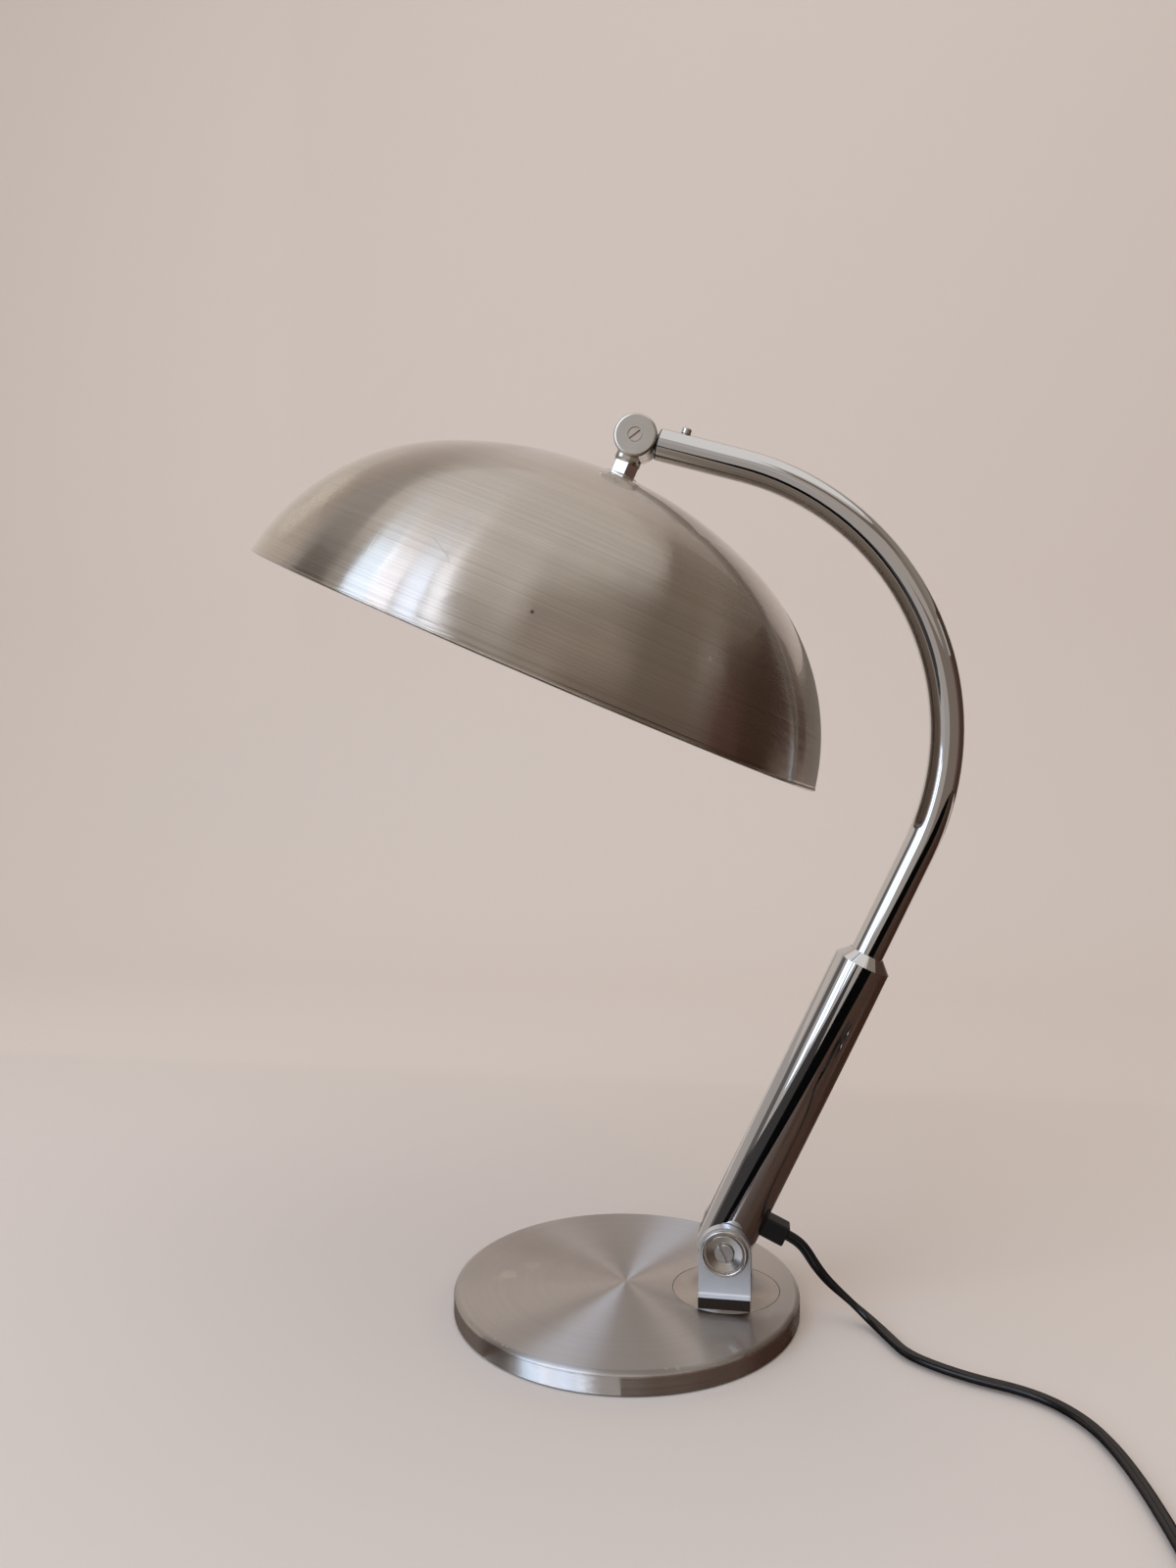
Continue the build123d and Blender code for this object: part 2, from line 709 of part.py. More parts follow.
def shade_shell():
    outer = dome_points(0)
    inner = dome_points(shade_wall)
    edges = dome_edge(outer) + dome_edge(inner)
    edges += [Line(outer[0], inner[0]), Line(outer[4], inner[4])]
    shell = revolve(Plane.XZ * make_face(edges), Axis.Z)
    hem_bore = shade_radius - shade_hem_wall
    hem_top = shade_rim + shade_hem_height
    bead = shade_diameter / 2 - shade_bead_radius
    shell += ring(bead, hem_bore, shade_rim, hem_top)
    rolled = Plane.XZ * Pos(bead, shade_rim + shade_bead_radius) * Circle(shade_bead_radius)
    shell += revolve(rolled, Axis.Z)
    return shade_place * (shell - rod(nipple_diameter / 2 + seat, -neck_height - 20, 0))


def nipple():
    """The threaded tube that clamps the shade and carries the lampholder."""
    top = -neck_height + neck_washer_thickness + nipple_engagement - nipple_end_gap
    return shade_place * ring(nipple_diameter / 2, nipple_bore / 2, holder_top() - holder_boss_height, top)


def washer_top():
    """The inner washer's flat top, just under the crown's curved inside."""
    inside = shade_crown_radius - shade_wall
    sag = inside - math.sqrt(inside ** 2 - (inner_washer_diameter / 2) ** 2)
    return shade_inside - sag - face_gap


def holder_top():
    return washer_top() - inner_washer_thickness - lock_nut_height


def inner_washer():
    top = washer_top()
    washer = ring(inner_washer_diameter / 2, nipple_diameter / 2 + seat, top - inner_washer_thickness, top)
    return shade_place * washer


def lock_nut():
    top = washer_top() - inner_washer_thickness
    nut = hexagon_rod(neck_hex_width, top - lock_nut_height, top)
    return shade_place * (nut - rod(nipple_diameter / 2 + seat, top - lock_nut_height - 1, 0))


def holder_cap():
    top = holder_top()
    low = top - holder_cap_height
    radius = holder_diameter / 2
    bore = nipple_diameter / 2 + seat
    wall = holder_cap_wall
    boss = bore + holder_boss_wall
    shoulder = top - holder_cap_shoulder
    points = [(bore, top), (boss + holder_cap_crown, top), (radius, shoulder), (radius, low),
              (radius - wall, low), (radius - wall, shoulder - wall / 2), (boss, top - wall),
              (boss, top - holder_boss_height), (bore, top - holder_boss_height)]
    hole = Rot(0, -90, 0) * rod(switch_shaft_diameter / 2 + running, 0, radius + 1)
    return shade_place * (turned(points) - Pos(0, 0, switch_height()) * hole)


def switch_height():
    return holder_top() - holder_cap_height + switch_block_lift + switch_block_height / 2


def switch_block():
    """The switch's contact block inside the cap, on the lampholder's body."""
    low = holder_top() - holder_cap_height
    block = Pos(0, 0, low) * Box(switch_block_width, switch_block_depth, switch_block_height, align=BOTTOM)
    bore = rod(switch_shaft_diameter / 2 + running, 0, switch_block_width)
    return shade_place * (block - Pos(0, 0, switch_height()) * Rot(0, -90, 0) * bore)


def switch_knob():
    end = holder_diameter / 2 + switch_shaft_reach
    shaft = rod(switch_shaft_diameter / 2, switch_block_width / 2 - switch_shaft_overlap, end)
    low = end - switch_knob_length
    knob = rod(switch_knob_diameter / 2, low, low + switch_knob_length)
    wings = Box(switch_wing_thickness, switch_wing_width, switch_knob_length, align=BOTTOM)
    wings = Pos(0, 0, low + switch_wing_step) * fillet(wings.edges().filter_by(Axis.X), switch_wing_corner)
    return shade_place * Pos(0, 0, switch_height()) * Rot(0, -90, 0) * (shaft + knob + wings)


def holder_body():
    top = holder_top() - holder_cap_height
    low = top - holder_body_height
    radius = holder_diameter / 2
    waist = radius - holder_waist_inset
    bore = socket_bore / 2
    points = [(0, top), (radius, top), (radius, top - holder_grip), (waist, top - holder_waist),
              (waist, low + holder_mouth_slope), (radius - holder_mouth_edge, low), (bore, low),
              (bore, top - holder_web), (0, top - holder_web)]
    return shade_place * turned(points)


def holder_ring():
    radius = holder_diameter / 2 - holder_waist_inset + seat
    top = holder_top() - holder_cap_height - holder_ring_drop
    body = ring(holder_ring_diameter / 2, radius, top - holder_ring_height, top)
    return shade_place * chamfer(body.edges().sort_by(SortBy.LENGTH)[-2:], holder_ring_edge)


def socket_shell():
    top = holder_top() - holder_cap_height - holder_web
    low = holder_top() - holder_cap_height - holder_body_height + 1
    outer = socket_bore / 2 - face_gap
    return shade_place * ring(outer, outer - socket_shell_wall, low, top)


def centre_contact():
    top = holder_top() - holder_cap_height - holder_web
    return shade_place * rod(contact_diameter / 2, top - contact_thickness, top)


def bulb_tip():
    return holder_top() - holder_cap_height - holder_web - contact_thickness


def bulb_cap():
    tip = bulb_tip()
    radius = bulb_cap_diameter / 2
    low = tip - bulb_cap_length
    points = [(0, tip), (bulb_contact_radius, tip), (bulb_insulator_radius, tip - bulb_insulator_height),
              (radius, tip - bulb_cap_shoulder), (radius, low), (0, low)]
    return shade_place * turned(points)


def bulb_glass():
    top = bulb_tip() - bulb_cap_length
    low = bulb_tip() - bulb_length
    radius = bulb_diameter / 2
    neck = bulb_cap_diameter / 2 - bulb_neck_inset
    centre = low + radius
    lift = (top - centre) * bulb_neck_share
    side = math.sqrt(radius ** 2 - lift ** 2)
    shoulder = (side, centre + lift)
    outline = [Line((0, top), (neck, top)), Line((neck, top), shoulder)]
    outline += [ThreePointArc(shoulder, (radius, centre), (0, low)), Line((0, low), (0, top))]
    return shade_place * revolve(Plane.XZ * make_face(outline), Axis.Z)


def shade_leads():
    top = -knuckle_radius - knuckle_bridge_gap
    low = holder_top() - holder_cap_height + switch_block_height + face_gap
    return shade_place * rod(cable_diameter / 2, low, top)


# Mains cord: from the gland down to the table, along it, into a coil of the spare length, to the plug

def corner_radii(points):
    """The largest even bends for a route, each from the shorter of its two runs and its turn."""
    radii = []
    for before, here, after in zip(points, points[1:], points[2:]):
        run_in = here - before
        run_out = after - here
        half_turn = math.radians(run_in.get_angle(run_out)) / 2
        radii.append(bend_share * min(run_in.length, run_out.length) / math.tan(half_turn))
    return radii


def cord_tube(name, path):
    tube = sweep(Plane(path @ 0, z_dir=path % 0) * Circle(cord_radius), path=path)
    expected = math.pi * cord_radius ** 2 * path.length
    print(f"{name}: length {path.length:.1f}, volume over section times length {tube.volume / expected:.4f}")
    return tube


def routed(name, points):
    radii = corner_radii(points)
    print(f"{name}: radii", " ".join(f"{radius:.0f}" for radius in radii))
    return FilletPolyline(*points, radius=radii)


def drop_points():
    """From the gland's face to the table; the route is chosen by hand after its first straight."""
    face = tube_radius + gland_rise
    return [arm_point(gland_height, face), arm_point(gland_height, face + cord_exit_run),
            Vector(103.0, 0, 38.3), Vector(108.6, 0, 29.2), Vector(115.8, -0.4, 20.6),
            Vector(126.5, -2.2, 12.2), Vector(136.0, -6.3, 5.6), Vector(143.0, -15.5, cord_height),
            Vector(147.9, -26.2, cord_height)]


lying_route = [(147.9, -26.2), (154.5, -40.6), (168.5, -51.5), (187.0, -61.0), (207.0, -67.5),
               (221.5, -77.0), (232.5, -91.5), (239.0, -109.5), (243.2, -133.0), (245.6, -160.0),
               (247.0, -191.0), (247.0, -221.0)]


def lying_points():
    return [Vector(x, y, cord_height) for x, y in lying_route]


def biarc(start, start_way, end, end_way):
    """Two arcs that meet smoothly between two points with given directions."""
    gap = end - start
    both = start_way + end_way
    square = 2 * (1 - start_way.dot(end_way))
    reach = gap.dot(both)
    if square < 1e-9:
        arm = gap.dot(gap) / (2 * reach)
    else:
        arm = (math.sqrt(reach ** 2 + square * gap.dot(gap)) - reach) / square
    middle = (start + start_way * arm + end - end_way * arm) / 2
    first = TangentArc(start, middle, tangent=start_way)
    return [first, TangentArc(middle, end, tangent=first % 1)]


coil_end = 2 * coil_turns + 0.5
coil_start = Vector(lying_route[-1][0], lying_route[-1][1] - cord_diameter, cord_height)
plug_height = plug_thickness / 2


def coil_radius():
    """The coil's outer radius, from the cord length that the other stretches leave over."""
    others = FilletPolyline(*drop_points(), radius=corner_radii(drop_points())).length
    others += FilletPolyline(*lying_points(), radius=corner_radii(lying_points())).length
    spare = cord_total_length - others - plug_tail_drop - 2 * cord_diameter
    return (spare / (2 * math.pi) + coil_pitch * coil_end ** 2 / 4) / coil_end


def coil_point(turn, outer):
    """A spiral inward on the table, a half turn that climbs, and a spiral outward on top."""
    radius = outer - coil_pitch * min(turn, coil_end - turn)
    climb = min(max((turn - coil_turns) / 0.5, 0.0), 1.0)
    angle = math.pi + 2 * math.pi * turn
    centre = coil_start + Vector(outer, 0, 0)
    return centre + Vector(radius * math.cos(angle), radius * math.sin(angle), coil_step * climb)


def coil_gap(outer):
    """The least clear distance between the coil's turns, measured on its centreline."""
    count = 60
    points = [coil_point(k / count, outer) for k in range(int(coil_end * count) + 1)]
    apart = count // 3
    pairs = [(i, j) for i in range(len(points)) for j in range(i + apart, len(points))]
    return min((points[i] - points[j]).length for i, j in pairs) - cord_diameter


def coil_path():
    outer = coil_radius()
    print(f"coil: outer radius {outer:.1f}, least gap between turns {coil_gap(outer):.2f}")
    count = int(coil_end * coil_steps_per_turn)
    turns = [k / coil_steps_per_turn for k in range(count + 1)]
    points = [coil_point(turn, outer) for turn in turns]
    step = 0.02
    ways = [(coil_point(turn + step, outer) - coil_point(turn - step, outer)).normalized() for turn in turns]
    ways[0] = Vector(0, -1, 0)
    ways[-1] = Vector(0, 1, 0)
    level = points[-1].Z - plug_height
    points.append(points[-1] + Vector(0, plug_tail_drop, -level))
    ways.append(Vector(0, 1, 0))
    edges = [Line(coil_start + Vector(0, cord_diameter, 0), coil_start)]
    for k in range(len(points) - 1):
        edges += biarc(points[k], ways[k], points[k + 1], ways[k + 1])
    edges.append(Line(points[-1], points[-1] + Vector(0, cord_diameter, 0)))
    return Wire(edges)


def plug_pin_shapes(clearance):
    radius = plug_pin_diameter / 2 + clearance
    root = plug_sleeve_length + plug_length
    pin = rod(radius, root - plug_pin_seat - clearance, root + plug_pin_length)
    pin = chamfer(pin.edges().group_by(Axis.Z)[-1], plug_pin_edge)
    half = plug_pin_spacing / 2
    return Pos(-half, 0, 0) * pin + Pos(half, 0, 0) * pin


def plug_body(place):
    """A flat moulded two-pin plug with a ribbed sleeve round the cord."""
    low = plug_sleeve_length
    high = plug_sleeve_length + plug_length
    half = plug_width / 2
    tail = plug_tail_width / 2
    wide = low + plug_shoulder
    outline = Polyline((-tail, low), (tail, low), (half, wide), (half, high), (-half, high), (-half, wide),
                       close=True)
    body = extrude(Plane.XZ * make_face(outline), plug_thickness / 2, both=True)
    body = fillet(body.edges().filter_by(Axis.Y), plug_corner)
    body = chamfer(body.edges().group_by(Axis.Y)[0] + body.edges().group_by(Axis.Y)[-1], plug_edge)
    radius = plug_sleeve_diameter / 2
    sleeve = rod(radius, 0, low + 1)
    for share in (0.25, 0.5, 0.75):
        middle = share * low
        sleeve -= ring(radius + 1, radius - sleeve_groove, middle - sleeve_groove, middle + sleeve_groove)
    return place * (body + sleeve - plug_pin_shapes(seat))


os.makedirs("parts", exist_ok=True)
coil = coil_path()
plug = Location(coil @ 1, (-90, 0, 0))
nodes = {
    "base_cover": base_cover(), "base_weight": base_weight(), "base_pad": base_pad(),
    "swivel_bush": swivel_bush(), "slip_ring": slip_ring(),
    "swivel_plate": swivel_plate(), "swivel_stud": swivel_stud(), "spring_washer": spring_washer(),
    "swivel_nut": swivel_nut(), "ear_front": ear(-1), "ear_rear": ear(1), "ear_screws": ear_screws(),
    "pivot_cup_front": pivot_cup(-1), "pivot_cup_rear": pivot_cup(1), "pivot_bolt": pivot_bolt(),
    "pivot_nut": pivot_nut(), "pivot_washers": pivot_washers(),
    "pivot_block": pivot_block(), "lower_tube": lower_tube(), "tube_collar": tube_collar(),
    "tube_sleeve": tube_sleeve(), "curved_tube": curved_tube(), "arm_cable": arm_cable(),
    "cord_gland": cord_gland(), "knuckle_tongue": knuckle_tongue(), "tube_end_bush": tube_end_bush(),
    "set_screw": set_screw(),
    "knuckle_yoke": knuckle_yoke(), "knuckle_washers": knuckle_washers(), "knuckle_screw": knuckle_screw(),
    "knuckle_nut": knuckle_nut(), "neck_washer": neck_washer(), "shade_shell": shade_shell(),
    "nipple": nipple(), "inner_washer": inner_washer(), "lock_nut": lock_nut(), "shade_leads": shade_leads(),
    "holder_cap": holder_cap(), "holder_body": holder_body(), "holder_ring": holder_ring(),
    "socket_shell": socket_shell(), "centre_contact": centre_contact(), "switch_block": switch_block(),
    "switch_knob": switch_knob(), "bulb_cap": bulb_cap(), "bulb_glass": bulb_glass(),
    "cord_drop": cord_tube("cord_drop", routed("cord_drop", drop_points())),
    "cord_lay": cord_tube("cord_lay", routed("cord_lay", lying_points())),
    "cord_coil": cord_tube("cord_coil", coil),
    "plug_body": plug_body(plug), "plug_pins": plug * plug_pin_shapes(0),
}
for name, shape in nodes.items():
    export_step(shape, f"parts/{name}.step")
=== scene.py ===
import math

import bmesh
import bpy
from mathutils import Matrix, Vector


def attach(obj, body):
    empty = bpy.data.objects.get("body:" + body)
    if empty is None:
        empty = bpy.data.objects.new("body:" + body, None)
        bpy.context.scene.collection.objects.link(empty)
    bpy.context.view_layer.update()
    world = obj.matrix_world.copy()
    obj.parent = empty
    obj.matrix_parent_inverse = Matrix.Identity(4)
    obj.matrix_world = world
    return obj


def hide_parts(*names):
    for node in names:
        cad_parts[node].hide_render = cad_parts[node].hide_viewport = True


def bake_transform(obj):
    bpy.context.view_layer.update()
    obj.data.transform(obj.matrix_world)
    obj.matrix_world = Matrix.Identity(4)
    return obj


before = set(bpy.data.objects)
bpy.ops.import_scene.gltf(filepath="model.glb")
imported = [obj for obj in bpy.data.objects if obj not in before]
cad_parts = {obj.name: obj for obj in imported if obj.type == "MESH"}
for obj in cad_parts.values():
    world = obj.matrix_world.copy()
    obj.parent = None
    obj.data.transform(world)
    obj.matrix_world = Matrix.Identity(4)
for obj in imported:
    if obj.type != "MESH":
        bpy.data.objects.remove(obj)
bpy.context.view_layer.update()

MM = 0.001

# Places and sizes that part.py also names
SHADE_TILT = math.radians(23.6)
SHADE_AXIS = Vector((math.sin(SHADE_TILT), 0.0, math.cos(SHADE_TILT)))
KNUCKLE = Vector((6.6, 0.0, 500.2)) * MM
NECK_HEIGHT = 24.9
CROWN = KNUCKLE - SHADE_AXIS * NECK_HEIGHT * MM
SWIVEL = Vector((58.0, 0.0, 0.0)) * MM
UPRIGHT = Vector((0.0, 0.0, 1.0))
BASE_MIDDLE = Vector((0.0, 0.0, 0.0))
BASE_TOP = 12.5


# Camera, fitted to the photograph's outlines

CAMERA_PLACE = Vector((83.90, -662.14, 323.62)) * MM
YAW = math.radians(9.096)
PITCH = math.radians(1.759)
ROLL = math.radians(-0.087)
LENS_PIXELS = 1180.0
FRAME_PIXELS = 1600.0
SENSOR = 36.0

ahead = Vector((-math.sin(YAW) * math.cos(PITCH), math.cos(YAW) * math.cos(PITCH), -math.sin(PITCH)))
level = Vector((math.cos(YAW), math.sin(YAW), 0.0))
over = level.cross(ahead)
right = level * math.cos(ROLL) + over * math.sin(ROLL)
up = over * math.cos(ROLL) - level * math.sin(ROLL)

camera_data = bpy.data.cameras.new("camera")
camera_data.sensor_fit = "AUTO"
camera_data.sensor_width = SENSOR
camera_data.lens = SENSOR * LENS_PIXELS / FRAME_PIXELS
camera = bpy.data.objects.new("camera", camera_data)
bpy.context.scene.collection.objects.link(camera)
turn = Matrix((right, up, -ahead)).transposed().to_4x4()
camera.matrix_world = Matrix.Translation(CAMERA_PLACE) @ turn
bpy.context.scene.camera = camera


# Shader helpers

FLAKE_SCALE = 700.0
FLAKE_EDGE = 0.12
SPOT_CORE = 0.45
SCRATCH_CORE = 0.3
LINES_PER_METRE = 1700.0
GROOVE_DEPTH = 30.0
LACQUER_INDEX = 1.25
LACQUER_ROUGHNESS = 0.02
CLOUD_SCALE = 14.0
WIPE_SCALE = 60.0
GRAIN_HEIGHT = 0.0002


class Shader:
    """A material under construction: short calls for the nodes that several materials share."""

    def __init__(self, name, color, metallic, roughness):
        self.material = bpy.data.materials.new(name)
        self.material.use_nodes = True
        self.tree = self.material.node_tree
        self.bsdf = self.tree.nodes["Principled BSDF"]
        self.bsdf.inputs["Base Color"].default_value = (*color, 1.0)
        self.bsdf.inputs["Metallic"].default_value = metallic
        self.bsdf.inputs["Roughness"].default_value = roughness

    def node(self, kind, **settings):
        made = self.tree.nodes.new(kind)
        for key, value in settings.items():
            setattr(made, key, value)
        return made

    def link(self, source, target):
        self.tree.links.new(source, target)

    def put(self, value, socket):
        if isinstance(value, bpy.types.NodeSocket):
            self.link(value, socket)
        else:
            socket.default_value = value

    def math(self, operation, a, b=0.0):
        made = self.node("ShaderNodeMath", operation=operation)
        self.put(a, made.inputs[0])
        self.put(b, made.inputs[1])
        return made.outputs[0]

    def vector(self, operation, a, b=(0, 0, 0), scale=None):
        made = self.node("ShaderNodeVectorMath", operation=operation)
        self.put(a, made.inputs[0])
        self.put(b, made.inputs[1])
        if scale is not None:
            self.put(scale, made.inputs["Scale"])
        number = operation in ("DOT_PRODUCT", "LENGTH")
        return made.outputs["Value" if number else "Vector"]

    def ramp(self, value, low, high, out_low, out_high):
        made = self.node("ShaderNodeMapRange")
        self.put(value, made.inputs["Value"])
        made.inputs["From Min"].default_value = low
        made.inputs["From Max"].default_value = high
        made.inputs["To Min"].default_value = out_low
        made.inputs["To Max"].default_value = out_high
        return made.outputs["Result"]

    def noise(self, vector, scale, detail=3.0, roughness=0.5):
        made = self.node("ShaderNodeTexNoise")
        self.put(vector, made.inputs["Vector"])
        made.inputs["Scale"].default_value = scale
        made.inputs["Detail"].default_value = detail
        made.inputs["Roughness"].default_value = roughness
        return made.outputs["Fac"]

    def mix(self, factor, a, b):
        made = self.node("ShaderNodeMix", data_type="RGBA")
        self.put(factor, made.inputs[0])
        self.put(a, made.inputs[6])
        self.put(b, made.inputs[7])
        return made.outputs[2]

    def place(self):
        return self.node("ShaderNodeTexCoord").outputs["Object"]

    def bump(self, height, strength, distance):
        made = self.node("ShaderNodeBump")
        made.inputs["Strength"].default_value = strength
        made.inputs["Distance"].default_value = distance
        self.link(height, made.inputs["Height"])
        self.link(made.outputs["Normal"], self.bsdf.inputs["Normal"])

    def spot(self, centre, radius, ragged=0.0):
        """A round mark with a soft edge, 1 in its middle; ragged breaks it into flakes. Millimetres."""
        offset = self.vector("SUBTRACT", self.place(), tuple(Vector(centre) * MM))
        mask = self.ramp(self.vector("LENGTH", offset), SPOT_CORE * radius * MM, radius * MM, 1.0, 0.0)
        if ragged:
            grit = self.noise(self.place(), FLAKE_SCALE, 8.0, 0.85)
            flakes = self.ramp(grit, ragged, ragged + FLAKE_EDGE, 0.0, 1.0)
            mask = self.math("MULTIPLY", mask, flakes)
        return mask

    def scratch(self, start, end, width):
        """A thin straight mark from start to end, 1 on its line. Millimetres."""
        run = Vector(end) - Vector(start)
        offset = self.vector("SUBTRACT", self.place(), tuple(Vector(start) * MM))
        share = self.vector("DOT_PRODUCT", offset, tuple(run / (run.length_squared * MM)))
        share = self.ramp(share, 0.0, 1.0, 0.0, 1.0)
        away = self.vector("SUBTRACT", offset, self.vector("SCALE", tuple(run * MM), scale=share))
        return self.ramp(self.vector("LENGTH", away), SCRATCH_CORE * width * MM, width * MM, 1.0, 0.0)

    def below(self, height):
        """1 under this height and 0 over it. Millimetres."""
        parts = self.node("ShaderNodeSeparateXYZ")
        self.link(self.place(), parts.inputs[0])
        return self.ramp(parts.outputs["Z"], (height - 0.5) * MM, (height + 0.5) * MM, 1.0, 0.0)

    def lathe(self, centre, axis):
        """Coordinates that change fast from one brushed line to the next, and the lines' direction."""
        offset = self.vector("SUBTRACT", self.place(), tuple(centre))
        height = self.vector("DOT_PRODUCT", offset, tuple(axis))
        along = self.vector("SCALE", tuple(axis), scale=height)
        out = self.vector("SUBTRACT", offset, along)
        spoke = self.vector("NORMALIZE", out)
        run = self.math("SUBTRACT", self.vector("LENGTH", out), height)
        count = self.math("MULTIPLY", run, LINES_PER_METRE)
        grain = self.vector("ADD", self.vector("SCALE", spoke, scale=1.2),
                            self.vector("SCALE", tuple(axis), scale=count))
        world = self.node("ShaderNodeVectorTransform", vector_type="VECTOR",
                          convert_from="OBJECT", convert_to="WORLD")
        self.link(self.vector("CROSS_PRODUCT", tuple(axis), spoke), world.inputs[0])
        return grain, world.outputs[0]


def brushed_metal(name, color, dark, centre, axis, rough, marks=(), grooved_below=0.0):
    """Lacquered metal brushed on a lathe: fine circular lines, highlights across them, wear and marks.

    A mark is its mask's method, that method's values, its colour, its strength and what it adds to the
    roughness. Under the height grooved_below, in millimetres, the lines are deep grooves.
    """
    s = Shader(name, color, 1.0, rough)
    grain, around = s.lathe(centre, axis)
    fine = s.noise(grain, 1.0, 2.0, 0.6)
    broad = s.noise(grain, 0.35, 3.0, 0.7)
    cloud = s.noise(s.place(), CLOUD_SCALE, 4.0, 0.6)
    tone = s.math("ADD", s.math("MULTIPLY", fine, 0.4), s.math("MULTIPLY", broad, 0.6))
    tint = s.mix(s.ramp(tone, 0.34, 0.64, 0.0, 1.0), (*dark, 1.0), (*color, 1.0))
    spread = s.math("ADD", s.ramp(fine, 0.3, 0.7, rough - 0.03, rough + 0.03),
                    s.ramp(cloud, 0.4, 0.75, 0.0, 0.05))
    for kind, values, mark_color, strength, lift in marks:
        mask = s.math("MULTIPLY", getattr(s, kind)(*values), strength)
        tint = s.mix(mask, tint, (*mark_color, 1.0))
        spread = s.math("ADD", spread, s.math("MULTIPLY", mask, lift))
    s.link(tint, s.bsdf.inputs["Base Color"])
    s.link(spread, s.bsdf.inputs["Roughness"])
    s.bsdf.inputs["Anisotropic"].default_value = 1.0
    s.bsdf.inputs["Anisotropic Rotation"].default_value = 0.25
    s.link(around, s.bsdf.inputs["Tangent"])
    s.bsdf.inputs["Coat Weight"].default_value = 1.0
    s.bsdf.inputs["Coat Roughness"].default_value = LACQUER_ROUGHNESS
    s.bsdf.inputs["Coat IOR"].default_value = LACQUER_INDEX
    depth = 1.0
    if grooved_below:
        depth = s.math("ADD", s.math("MULTIPLY", s.below(grooved_below), GROOVE_DEPTH), 1.0)
    s.bump(s.math("MULTIPLY", fine, depth), 0.08, GRAIN_HEIGHT)
    return s.material


def polished_metal(name, color, rough, smear=0.04):
    """Polished plating with faint wiping marks."""
    s = Shader(name, color, 1.0, rough)
    wipe = s.noise(s.place(), WIPE_SCALE, 3.0, 0.6)
    s.link(s.ramp(wipe, 0.4, 0.8, rough, rough + smear), s.bsdf.inputs["Roughness"])
    return s.material


def plastic(name, color, rough, grain=900.0, strength=0.05):
    """A moulded, cast or felted surface: fine grain in its bump and uneven gloss."""
    s = Shader(name, color, 0.0, rough)
    fine = s.noise(s.place(), grain, 2.0, 0.5)
    broad = s.noise(s.place(), 40.0, 3.0, 0.5)
    s.link(s.ramp(broad, 0.35, 0.7, rough - 0.04, rough + 0.06), s.bsdf.inputs["Roughness"])
    s.bump(fine, strength, GRAIN_HEIGHT)
    return s.material


def dress(names, material):
    """Gives CAD nodes a material."""
    for name in names.split():
        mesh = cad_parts[name].data
        mesh.materials.clear()
        mesh.materials.append(material)


# Worn spots, nicks and scratches, in millimetres, where the photograph shows them; the base's list also
# holds a painted sheen, a lighter and smoother side band
PALE = (0.95, 0.90, 0.80)
DARK = (0.10, 0.09, 0.085)
SIDE_TOP = 11.0
shade_marks = [
    ("spot", ((-151.7, -113.7, 438.7), 15.0, 0.42), PALE, 0.65, 0.05),
    ("spot", ((-132.4, -110.5, 453.7), 17.0, 0.42), PALE, 0.65, 0.05),
    ("spot", ((-140.0, -114.7, 445.8), 13.0, 0.42), PALE, 0.5, 0.05),
    ("spot", ((-20.6, -163.4, 383.7), 1.3), DARK, 0.9, 0.1),
    ("spot", ((55.2, -124.2, 365.1), 1.5), PALE, 0.8, 0.1),
    ("scratch", ((-69.3, -153.3, 420.7), (-60.0, -159.0, 409.6), 0.35), DARK, 0.22, 0.0),
    ("scratch", ((-71.2, -169.8, 382.2), (-60.6, -171.1, 377.6), 0.5), DARK, 0.6, 0.0),
    ("scratch", ((-60.8, -157.5, 413.1), (-58.3, -161.6, 403.8), 0.35), DARK, 0.18, 0.0),
    ("scratch", ((-94.9, -148.7, 424.6), (-100.3, -154.9, 412.1), 0.4), PALE, 0.3, 0.0),
]
base_marks_and_side_sheen = [
    ("spot", ((-69.5, -2.5, BASE_TOP), 6.0), PALE, 0.22, 0.0),
    ("spot", ((-69.5, -2.5, BASE_TOP), 6.5, 0.46), PALE, 0.4, 0.0),
    ("spot", ((-73.5, -8.0, BASE_TOP), 5.5), PALE, 0.12, 0.0),
    ("spot", ((-58.0, 11.5, BASE_TOP), 7.0), PALE, 0.13, 0.0),
    ("spot", ((-62.0, -2.0, BASE_TOP), 16.0, 0.50), PALE, 0.3, 0.0),
    ("spot", ((-60.0, -76.5, 11.9), 1.0), PALE, 0.9, 0.1),
    ("spot", ((-54.4, -81.6, 11.9), 1.1), PALE, 0.9, 0.1),
    ("spot", ((-52.0, -83.2, 11.9), 0.9), PALE, 0.9, 0.1),
    ("spot", ((31.8, -92.0, 12.2), 1.0), PALE, 0.8, 0.1),
    ("spot", ((37.6, -90.8, 12.2), 1.3), PALE, 0.9, 0.1),
    # Painted sheen: below SIDE_TOP the base's side is painted lighter than its top, which brightens its
    # reflections, and is made smoother
    ("below", (SIDE_TOP,), (0.80, 0.77, 0.75), 1.0, -0.20),
]

